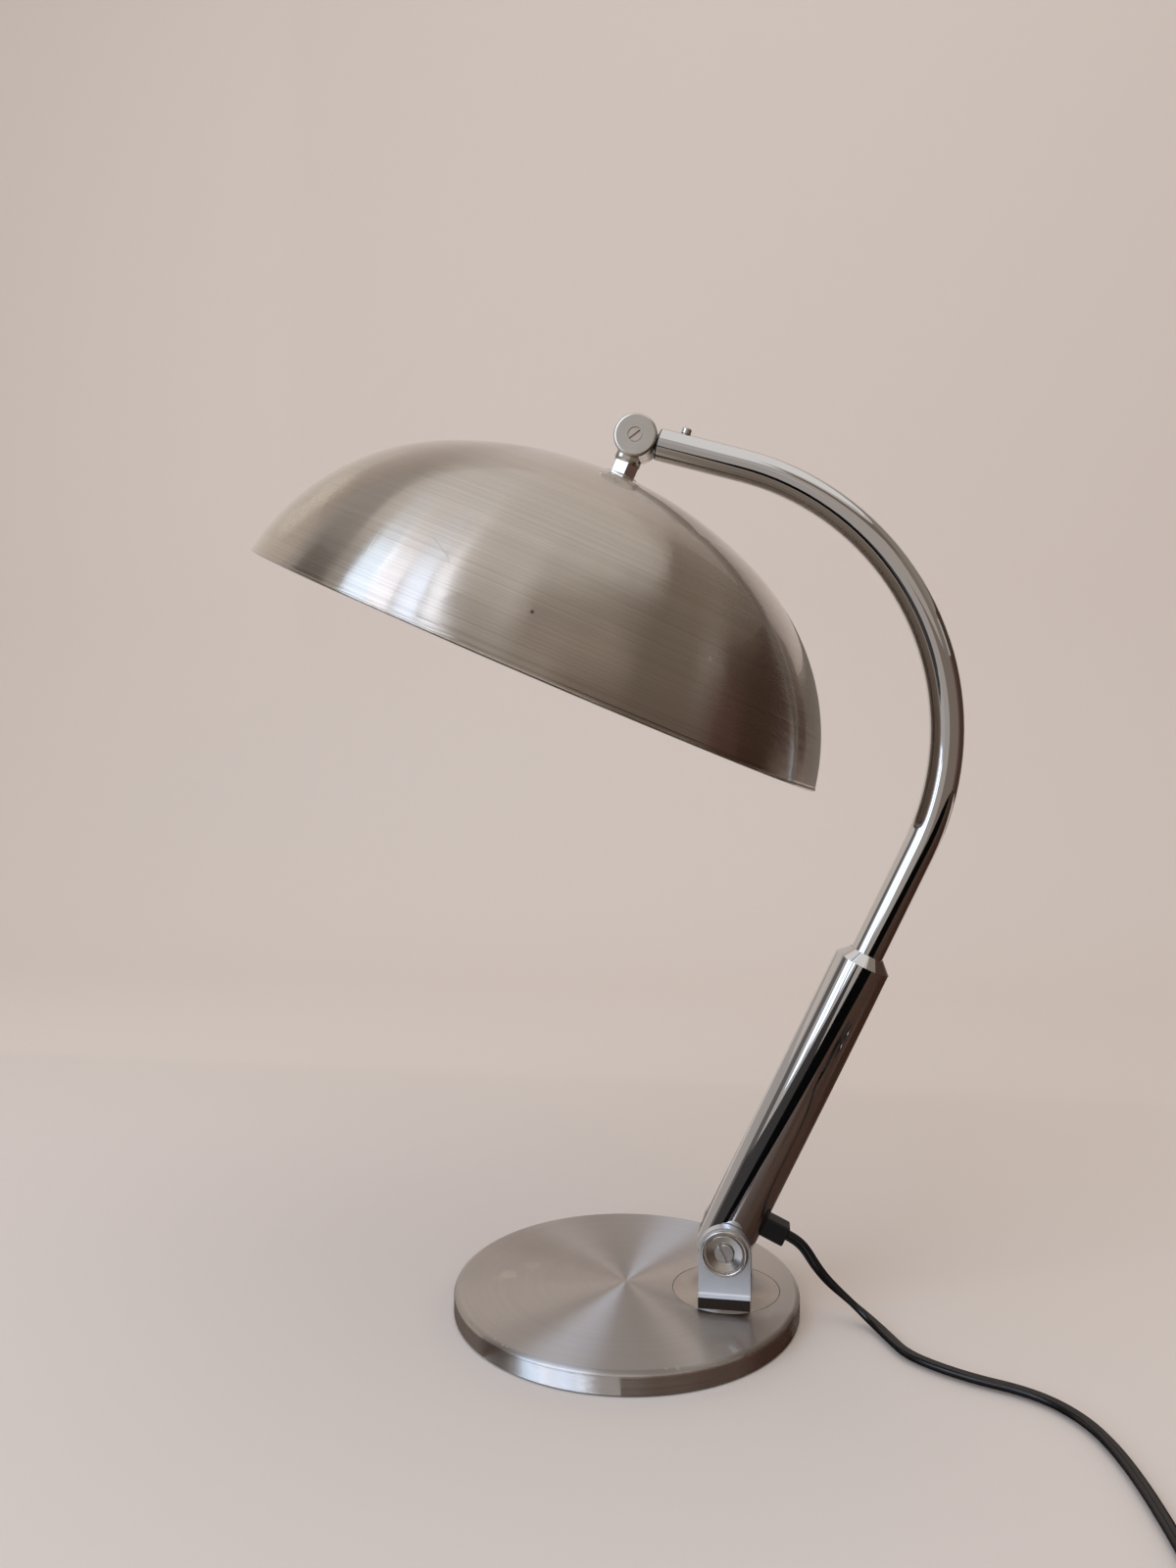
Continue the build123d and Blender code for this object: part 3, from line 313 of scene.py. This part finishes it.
shade_metal = brushed_metal("brushed_shade", (0.60, 0.54, 0.48), (0.48, 0.43, 0.38),
                            CROWN, SHADE_AXIS, 0.22, shade_marks)
base_metal = brushed_metal("brushed_base", (0.63, 0.60, 0.585), (0.585, 0.557, 0.54),
                           BASE_MIDDLE, UPRIGHT, 0.42, base_marks_and_side_sheen, SIDE_TOP)
plate_metal = brushed_metal("brushed_plate", (0.66, 0.61, 0.56), (0.62, 0.57, 0.52),
                            SWIVEL, UPRIGHT, 0.42)
chrome = polished_metal("chrome_tube", (0.72, 0.72, 0.73), 0.03)
nickel = polished_metal("nickel_joint", (0.68, 0.645, 0.60), 0.21, 0.07)
steel = polished_metal("turned_steel", (0.66, 0.65, 0.63), 0.25, 0.1)
satin_steel = polished_metal("satin_steel", (0.74, 0.72, 0.69), 0.42, 0.08)
copper_steel = polished_metal("knuckle_screw_steel", (0.62, 0.53, 0.47), 0.33, 0.1)
zinc = polished_metal("zinc_steel", (0.55, 0.55, 0.53), 0.35, 0.1)
alloy = polished_metal("machined_alloy", (0.62, 0.62, 0.62), 0.3, 0.1)
iron = plastic("cast_iron", (0.03, 0.03, 0.03), 0.7, 500.0, 0.4)
felt = plastic("black_felt", (0.015, 0.015, 0.015), 0.95, 3000.0, 0.8)
black_matte = plastic("black_gland", (0.006, 0.006, 0.007), 0.42, 1500.0, 0.15)
black_gloss = plastic("black_moulding", (0.012, 0.012, 0.012), 0.25, 1200.0, 0.04)
nylon = plastic("nylon", (0.75, 0.74, 0.70), 0.45)
brass = polished_metal("contact_brass", (0.78, 0.60, 0.30), 0.25)
cap_metal = polished_metal("bulb_cap", (0.75, 0.75, 0.75), 0.25)
pin_metal = polished_metal("plug_pins", (0.72, 0.70, 0.64), 0.2)

# The ears are satin strip with a rough brown cut at the end of each foot
FOOT_END = max(abs(vertex.co.y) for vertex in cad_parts["ear_front"].data.vertices)
STRIP_COLOR = (0.88, 0.91, 0.95)
SAWN_COLOR = (0.10, 0.08, 0.065)
SAWN_DEPTH = 0.2
SAWN_EDGE = 0.05
strip = Shader("satin_strip", STRIP_COLOR, 1.0, 0.46)
parts = strip.node("ShaderNodeSeparateXYZ")
strip.link(strip.place(), parts.inputs[0])
reach = strip.math("ABSOLUTE", parts.outputs["Y"])
sawn_from = FOOT_END - (SAWN_DEPTH + SAWN_EDGE) * MM
sawn_full = FOOT_END - (SAWN_DEPTH - SAWN_EDGE) * MM
sawn = strip.ramp(reach, sawn_from, sawn_full, 0.0, 1.0)
tooth = strip.noise(strip.place(), 900.0, 4.0, 0.7)
strip.link(strip.mix(sawn, (*STRIP_COLOR, 1.0), (*SAWN_COLOR, 1.0)), strip.bsdf.inputs["Base Color"])
satin = strip.ramp(tooth, 0.3, 0.7, 0.43, 0.49)
strip.link(strip.math("ADD", satin, strip.math("MULTIPLY", sawn, 0.35)), strip.bsdf.inputs["Roughness"])
strip.bump(strip.math("MULTIPLY", tooth, sawn), 0.8, 0.0006)

# The yoke's hexagon below the knuckle is polished, its cheeks are satin
HEXAGON_TOP = -13.0
HEXAGON_EDGE = 0.5
yoke = Shader("knuckle_yoke_metal", (0.68, 0.645, 0.60), 1.0, 0.21)
offset = yoke.vector("SUBTRACT", yoke.place(), tuple(KNUCKLE))
drop = yoke.vector("DOT_PRODUCT", offset, tuple(SHADE_AXIS))
gloss = yoke.ramp(drop, (HEXAGON_TOP - HEXAGON_EDGE) * MM, (HEXAGON_TOP + HEXAGON_EDGE) * MM, 0.10, 0.21)
wipe = yoke.ramp(yoke.noise(yoke.place(), WIPE_SCALE, 3.0, 0.6), 0.4, 0.8, 0.0, 0.07)
yoke.link(yoke.math("ADD", wipe, gloss), yoke.bsdf.inputs["Roughness"])

dress("shade_shell", shade_metal)
dress("base_cover", base_metal)
dress("swivel_plate", plate_metal)
dress("lower_tube tube_collar curved_tube", chrome)
dress("ear_front ear_rear", strip.material)
dress("knuckle_yoke", yoke.material)
dress("pivot_cup_front pivot_cup_rear knuckle_tongue neck_washer", nickel)
dress("pivot_bolt pivot_nut", satin_steel)
dress("knuckle_nut set_screw ear_screws", steel)
dress("knuckle_screw", copper_steel)
dress("swivel_stud spring_washer swivel_nut nipple inner_washer lock_nut", zinc)
dress("pivot_block", alloy)
dress("base_weight", iron)
dress("base_pad", felt)
dress("cord_gland tube_end_bush", black_matte)
dress("holder_cap holder_body holder_ring switch_block switch_knob plug_body", black_gloss)
dress("tube_sleeve swivel_bush slip_ring pivot_washers knuckle_washers", nylon)
dress("socket_shell centre_contact", brass)
dress("bulb_cap", cap_metal)
dress("plug_pins", pin_metal)

opal = Shader("opal_glass", (0.93, 0.92, 0.88), 0.0, 0.35)
opal.bsdf.inputs["Subsurface Weight"].default_value = 0.3
opal.bsdf.inputs["Coat Weight"].default_value = 0.4
frost = opal.noise(opal.place(), 120.0)
opal.link(opal.ramp(frost, 0.4, 0.7, 0.3, 0.42), opal.bsdf.inputs["Roughness"])
dress("bulb_glass", opal.material)

sheath = plastic("cord_pvc", (0.006, 0.006, 0.007), 0.2, 700.0, 0.05)
dress("arm_cable shade_leads", sheath)


# Mains cord: a flat two-core cord from the gland to the table, into a coil of the spare length and to
# the plug. Its sizes and places are in millimetres.

CORD_WIDTH = 6.2
CORD_THICKNESS = 3.8
CORD_HEIGHT = 3.2
CORD_STEP = 2.0
SECTION_STEPS = 6
COIL_TURNS = 3
COIL_PITCH = 6.9
COIL_STEP = 6.8
COIL_OUTER = 40.9
COIL_START = (247.0, -227.2)
CLIMB_TURNS = 0.5
STEPS_PER_TURN = 12

# Where the cord stops following the arm, lies flat and comes to rest, and its tail's runs and heights
AIR_TO = (121.1, -1.3, 16.4)
FLAT_FROM = (147.9, -26.2)
SLIDE_TO = (221.5, -77.0)
TAIL = [(12.0, 9.6), (31.0, 7.6), (50.0, 6.9), (56.2, 6.9)]

falling = [(92.0, 0, 46.0), (97.5, 0, 43.4), (103.0, 0, 38.3), (108.6, 0, 29.2), (115.8, -0.4, 20.6),
           (126.5, -2.2, 12.2), (136.0, -6.3, 5.6)]
lying = [(143.0, -15.5), FLAT_FROM, (154.5, -40.6), (168.5, -51.5), (187.0, -61.0), (207.0, -67.5),
         SLIDE_TO, (232.5, -91.5), (239.0, -109.5), (243.2, -133.0), (245.6, -160.0), (247.0, -191.0),
         (247.0, -221.0)]
route = falling + [(x, y, CORD_HEIGHT) for x, y in lying]
coil_end = 2 * COIL_TURNS + CLIMB_TURNS
widen = 1.0 / math.cos(math.pi / STEPS_PER_TURN)
for step in range(int(coil_end * STEPS_PER_TURN) + 1):
    turn_count = step / STEPS_PER_TURN
    radius = (COIL_OUTER - COIL_PITCH * min(turn_count, coil_end - turn_count)) * widen
    climb = min(max((turn_count - COIL_TURNS) / CLIMB_TURNS, 0.0), 1.0)
    angle = math.pi + 2 * math.pi * turn_count
    route.append((COIL_START[0] + COIL_OUTER + radius * math.cos(angle),
                  COIL_START[1] + radius * math.sin(angle),
                  CORD_HEIGHT + COIL_STEP * climb))
end_x, end_y = route[-1][:2]
route += [(end_x, end_y + run, height) for run, height in TAIL]
route = [Vector(point) * MM for point in route]


def centreline(points):
    """The smooth line of the route: a NURBS spline's own points, read back from Blender."""
    curve = bpy.data.curves.new("cord_line", "CURVE")
    curve.dimensions = "3D"
    curve.resolution_u = 10
    spline = curve.splines.new("NURBS")
    spline.points.add(len(points) - 1)
    for control, point in zip(spline.points, points):
        control.co = (*point, 1.0)
    spline.order_u = 3
    spline.use_endpoint_u = True
    carrier = bpy.data.objects.new("cord_line", curve)
    bpy.context.scene.collection.objects.link(carrier)
    bpy.context.view_layer.update()
    mesh = bpy.data.meshes.new_from_object(carrier)
    line = [vertex.co.copy() for vertex in mesh.vertices]
    bpy.data.objects.remove(carrier)
    bpy.data.curves.remove(curve)
    bpy.data.meshes.remove(mesh)
    return line


def even_line(line, step):
    """The same line with points at even distances, for a tidy mesh."""
    made = [line[0].copy()]
    travelled = 0.0
    due = step
    for start, end in zip(line, line[1:]):
        run = (end - start).length
        while run > 0 and travelled + run >= due:
            made.append(start.lerp(end, (due - travelled) / run))
            due += step
        travelled += run
    if (made[-1] - line[-1]).length < step * 0.5:
        made.pop()
    made.append(line[-1].copy())
    return made


def flat_section(width, thickness, steps):
    """A flat two-core cord's section: rounded sides and a shallow groove along each face's middle."""
    half = width / 2
    round_part = thickness / 2
    side = []
    for k in range(steps + 1):
        angle = -math.pi / 2 + math.pi * k / steps
        side.append((half - round_part + round_part * math.cos(angle), round_part * math.sin(angle)))
    top = [(0.35 * half, round_part * 0.98), (0.0, round_part * 0.84), (-0.35 * half, round_part * 0.98)]
    back = [(-x, -y) for x, y in side]
    return side + top + back + [(-x, -y) for x, y in top]


def lay_cord(name, line, first, last, twists):
    """Sweeps the flat section along a stretch of the line; a twist of 0 lies flat and 90 stands on edge.

    The directions come from the whole line, so that stretches meet without a seam.
    """
    mesh = bpy.data.meshes.new(name)
    build = bmesh.new()
    section = flat_section(CORD_WIDTH * MM, CORD_THICKNESS * MM, SECTION_STEPS)
    rings = []
    for k in range(first, last + 1):
        way = (line[min(k + 1, len(line) - 1)] - line[max(k - 1, 0)]).normalized()
        side = way.cross(Vector((0, 0, 1)))
        if side.length < 0.05:
            side = Vector((0, -1, 0))
        side.normalize()
        lift = side.cross(way).normalized()
        angle = math.radians(twists[k])
        wide = side * math.cos(angle) + lift * math.sin(angle)
        thin = lift * math.cos(angle) - side * math.sin(angle)
        rings.append([line[k] + wide * x + thin * y for x, y in section])
    grown = [[build.verts.new(point) for point in ring] for ring in rings]
    for one, two in zip(grown, grown[1:]):
        count = len(one)
        for j in range(count):
            after = (j + 1) % count
            build.faces.new((one[j], one[after], two[after], two[j])).smooth = True
    for ring in (rings[0][::-1], rings[-1]):
        build.faces.new([build.verts.new(point) for point in ring])
    if build.calc_volume(signed=True) < 0:
        bmesh.ops.reverse_faces(build, faces=build.faces)
    build.to_mesh(mesh)
    build.free()
    mesh.materials.append(sheath)
    made = bpy.data.objects.new(name, mesh)
    bpy.context.scene.collection.objects.link(made)
    return made


line = even_line(centreline(route), CORD_STEP * MM)


def nearest(point):
    """The line's point nearest to a place that comes before the coil."""
    place = Vector(point) * MM
    return min(range(len(line) // 4), key=lambda k: (line[k] - place).length)


def standing(share):
    """The twist in degrees: on edge at 0, flat from 1 on, with an eased turn between them."""
    rest = 1.0 - min(share, 1.0)
    return 90.0 * rest ** 2 * (3 - 2 * rest)


air = nearest(AIR_TO)
slide = nearest((*SLIDE_TO, CORD_HEIGHT))
twist_end = nearest((*FLAT_FROM, CORD_HEIGHT))
twists = [standing(k / twist_end) for k in range(len(line))]

cord_exit = lay_cord("mains_cord_exit", line, 0, air, twists)
cord_slide = lay_cord("mains_cord_slide", line, air, slide, twists)
cord_rest = lay_cord("mains_cord_lying", line, slide, len(line) - 1, twists)
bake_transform(cord_exit)
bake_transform(cord_slide)
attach(cord_rest, "base")
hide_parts("cord_drop")
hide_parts("cord_lay", "cord_coil")


# Studio: a pale floor that curves up into a backdrop, panels that only reflections see, window lights

def stage_mesh(name, points, faces, material):
    """A mesh that isn't part of the object."""
    mesh = bpy.data.meshes.new(name)
    mesh.from_pydata(points, [], faces)
    for polygon in mesh.polygons:
        polygon.use_smooth = True
    mesh.materials.append(material)
    made = bpy.data.objects.new(name, mesh)
    bpy.context.scene.collection.objects.link(made)
    return made


floor_paint = Shader("floor_paint", (0.94, 0.85, 0.785), 0.0, 0.8)
FLOOR_REACH = 4.0
CURVE_START = 0.9
CURVE_RADIUS = 0.6
CURVE_STEPS = 12
FLOOR_GAP = 0.0002
profile = [(-FLOOR_REACH, 0.0), (CURVE_START, 0.0)]
for k in range(1, CURVE_STEPS + 1):
    angle = math.pi / 2 * k / CURVE_STEPS
    profile.append((CURVE_START + CURVE_RADIUS * math.sin(angle),
                    CURVE_RADIUS - CURVE_RADIUS * math.cos(angle)))
profile.append((CURVE_START + CURVE_RADIUS, FLOOR_REACH))
points = [(x, y, z - FLOOR_GAP) for y, z in profile for x in (-FLOOR_REACH, FLOOR_REACH)]
faces = [(2 * k, 2 * k + 1, 2 * k + 3, 2 * k + 2) for k in range(len(profile) - 1)]
stage_mesh("studio_sweep", points, faces, floor_paint.material)


def reflected(name, points, faces, material):
    """A panel that only reflections see."""
    made = stage_mesh(name, points, faces, material)
    made.visible_camera = False
    made.visible_diffuse = False
    made.visible_transmission = False
    made.visible_shadow = False


CARD_STEPS = 12


def card(name, start, end, distance, low, high, color):
    """A curved upright panel that glows. Its azimuths count to the right from the lamp's front."""
    paint = Shader(name + "_paint", (0.0, 0.0, 0.0), 0.0, 1.0)
    paint.bsdf.inputs["Specular IOR Level"].default_value = 0.0
    paint.bsdf.inputs["Emission Color"].default_value = (*color, 1.0)
    paint.bsdf.inputs["Emission Strength"].default_value = 1.0
    points = []
    for k in range(CARD_STEPS + 1):
        angle = -math.pi / 2 + math.radians(start + (end - start) * k / CARD_STEPS)
        points += [(distance * math.cos(angle), distance * math.sin(angle), low),
                   (distance * math.cos(angle), distance * math.sin(angle), high)]
    faces = [(2 * k, 2 * k + 2, 2 * k + 3, 2 * k + 1) for k in range(CARD_STEPS)]
    reflected(name, points, faces, paint.material)


def mat(name, x0, y0, x1, y1, height, color, rough, index):
    """A dark sheet on the floor, varnished where it isn't rough."""
    varnish = Shader(name + "_paint", color, 0.0, rough)
    varnish.bsdf.inputs["Specular IOR Level"].default_value = 1.0 - rough
    varnish.bsdf.inputs["IOR"].default_value = index
    corners = [(x0, y0, height), (x1, y0, height), (x1, y1, height), (x0, y1, height)]
    reflected(name, corners, [(0, 1, 2, 3)], varnish.material)


# Name, azimuths in degrees, distance, lower and upper edge in metres, colour
card("card_left", -92, -72, 1.7, 0.0, 1.9, (0.14, 0.125, 0.12))
card("card_low_left", -150, -90, 1.65, 0.0, 0.5, (0.42, 0.385, 0.36))
card("card_far_left", -150, -100, 1.7, 0.5, 1.9, (0.60, 0.53, 0.47))
card("card_sill", -80, -14, 1.5, 0.0, 0.28, (0.05, 0.045, 0.045))
card("card_front", -14, 18, 1.6, 0.0, 0.85, (0.40, 0.36, 0.33))
card("card_reddish", 78, 92, 1.6, 0.0, 0.8, (0.13, 0.075, 0.065))
card("card_right", 92, 140, 1.6, 0.0, 1.1, (0.07, 0.043, 0.032))
card("card_side", 18, 78, 1.6, 0.0, 0.75, (0.21, 0.165, 0.135))
card("card_lit_wall", 10, 52, 1.7, 0.75, 1.65, (0.42, 0.36, 0.31))
card("card_wall", 52, 80, 1.7, 0.75, 1.65, (0.22, 0.185, 0.155))
card("card_high_wall", 18, 80, 1.7, 1.65, 2.6, (0.17, 0.14, 0.115))
card("card_high", 80, 140, 1.7, 1.1, 2.4, (0.27, 0.225, 0.185))
card("card_behind", 138, 172, 1.35, 0.0, 0.62, (0.17, 0.14, 0.12))

# Name, first and last corner and height in metres, colour, roughness, index of refraction
mat("mat_table", -1.6, -0.40, 1.6, 0.45, 0.0001, (0.075, 0.034, 0.02), 0.15, 1.5)
mat("mat_front", -1.6, -1.80, 1.6, -0.40, 0.0001, (0.004, 0.004, 0.004), 1.0, 1.5)
mat("mat_gloss", -0.068, -0.30, 0.01, -0.04, 0.0003, (0.02, 0.012, 0.009), 0.06, 4.0)


def soft_light(name, place, aim, width, height, power, color):
    """A rectangular lamp that faces the point aim."""
    light = bpy.data.lights.new(name, "AREA")
    light.shape = "RECTANGLE"
    light.size = width
    light.size_y = height
    light.energy = power
    light.color = color
    made = bpy.data.objects.new(name, light)
    bpy.context.scene.collection.objects.link(made)
    made.location = place
    made.rotation_euler = (Vector(aim) - Vector(place)).to_track_quat("-Z", "Y").to_euler()


WINDOW_DISTANCE = 1.6
WINDOW_HEIGHT = 1.8
WINDOW_MIDDLE = 1.2
WINDOW_AIM = (0.0, 0.0, 0.28)

# Name, azimuth in degrees, width in metres, power in watts, colour
panes = [
    ("window_far_left", -56.0, 0.33, 4.1, (0.56, 0.75, 1.0)),
    ("window_left", -44.0, 0.28, 3.3, (0.74, 0.82, 1.0)),
    ("window_middle", -31.5, 0.26, 3.35, (0.60, 0.75, 1.0)),
    ("window_right", -20.5, 0.18, 2.2, (0.74, 0.83, 1.0)),
]
for name, azimuth, width, power, color in panes:
    angle = math.radians(azimuth - 90.0)
    place = (WINDOW_DISTANCE * math.cos(angle), WINDOW_DISTANCE * math.sin(angle), WINDOW_MIDDLE)
    soft_light(name, place, WINDOW_AIM, width, WINDOW_HEIGHT, power, color)
soft_light("sky", (0.3, -0.3, 2.4), (0.0, 0.0, 0.2), 3.0, 3.0, 10.0, (1.0, 0.97, 0.93))

AIR_COLOR = (0.82, 0.775, 0.735)
AIR_STRENGTH = 0.55
world = bpy.data.worlds.new("studio")
world.use_nodes = True
bpy.context.scene.world = world
air_light = world.node_tree.nodes["Background"]
air_light.inputs["Color"].default_value = (*AIR_COLOR, 1.0)
air_light.inputs["Strength"].default_value = AIR_STRENGTH

bpy.context.scene.view_settings.view_transform = "Standard"
